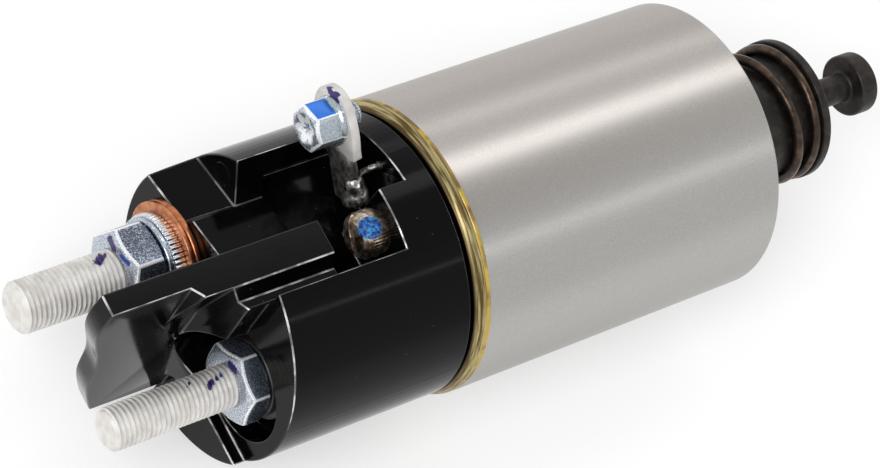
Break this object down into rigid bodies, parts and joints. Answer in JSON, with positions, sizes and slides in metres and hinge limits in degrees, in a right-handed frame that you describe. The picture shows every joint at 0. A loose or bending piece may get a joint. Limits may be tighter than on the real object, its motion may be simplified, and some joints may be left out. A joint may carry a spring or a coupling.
{
  "type": "starter solenoid",
  "caption": "Starter solenoid: steel case, black terminal cap with threaded studs, barrier and switch terminal, and a spring-loaded plunger with a knobbed stem for the shift lever.",
  "frame": {"origin": "centre of the case's end face on the plunger side, which seats on the drive housing", "axes": "+X along the plunger's axis, out of the mounting face; +Z towards the switch terminal; the studs lie level along Y, the bigger one on +Y"},
  "size_m": [0.2342, 0.0705, 0.0734],
  "materials": {
    "case_steel": "satin, faint turning lines",
    "lacquer": "amber gloss lacquer",
    "cap_moulding": "black gloss moulding",
    "core_iron": "turned soft iron",
    "rubber": "matt black",
    "brass": "drawn",
    "nylon": "matt",
    "enamelled_copper": "enamelled wire",
    "tinned_wire": "tinned",
    "tin_plate": "satin tin plate",
    "copper": "bright copper",
    "zinc_plate": "bright zinc plate",
    "dark_steel": "dark oxide",
    "solder": "soft sheen",
    "brown_nickel": "tarnished nickel",
    "phosphate": "brown-black phosphate",
    "spring_steel": "drawn",
    "phenolic": "matt"
  },
  "bodies": {
    "housing": {"case": "case_steel", "sealant_ring": "lacquer", "terminal_cap": "cap_moulding", "core_plate": "core_iron", "core_gasket": "rubber", "guide_sleeve": "brass", "bobbin": "nylon", "hold_in_winding": "enamelled_copper", "pull_in_winding": "enamelled_copper", "motor_lead": "enamelled_copper", "switch_lead": "tinned_wire", "battery_stud": "tin_plate", "motor_stud": "tin_plate", "battery_stud_seal": "rubber", "motor_stud_seal": "rubber", "battery_copper_washer": "copper", "battery_lock_washer": "zinc_plate", "battery_spring_washer": "zinc_plate", "battery_nut": "zinc_plate", "motor_flat_washer": "dark_steel", "motor_spring_washer": "dark_steel", "motor_nut": "zinc_plate", "switch_terminal": "tin_plate", "switch_screw": "zinc_plate", "solder_joint": "solder", "earth_screw": "brown_nickel", "return_spring": "phosphate", "reset_spring": "spring_steel"},
    "plunger": {"plunger": "phosphate", "guide_plug": "dark_steel", "spring_retainer": "phosphate", "retainer_clip": "dark_steel", "drive_spring": "spring_steel"},
    "stem": {"shift_stem": "phosphate"},
    "contact_set": {"contact_rod": "dark_steel", "contact_disc": "copper", "insulating_bush": "phenolic", "insulating_washer": "phenolic", "rod_clip": "spring_steel", "contact_spring": "spring_steel"}
  },
  "joints": [
    {"name": "plunger_slide", "type": "slide", "parent": "housing", "child": "plunger", "axis": [-1, 0, 0], "range_m": [0, 0.012], "stiffness_N_per_m": 1500, "springref_m": -0.02, "deforming": ["return_spring"]},
    {"name": "stem_slide", "type": "slide", "parent": "plunger", "child": "stem", "axis": [1, 0, 0], "range_m": [0, 0.008], "stiffness_N_per_m": 9000, "springref_m": -0.008, "deforming": ["drive_spring"]},
    {"name": "contact_slide", "type": "slide", "parent": "housing", "child": "contact_set", "axis": [-1, 0, 0], "range_m": [0, 0.003], "stiffness_N_per_m": 800, "springref_m": -0.008, "deforming": ["reset_spring"]}
  ],
  "couplings": [
    {"joint": "contact_slide", "follows": "plunger_slide", "ratio": 0.25}
  ]
}
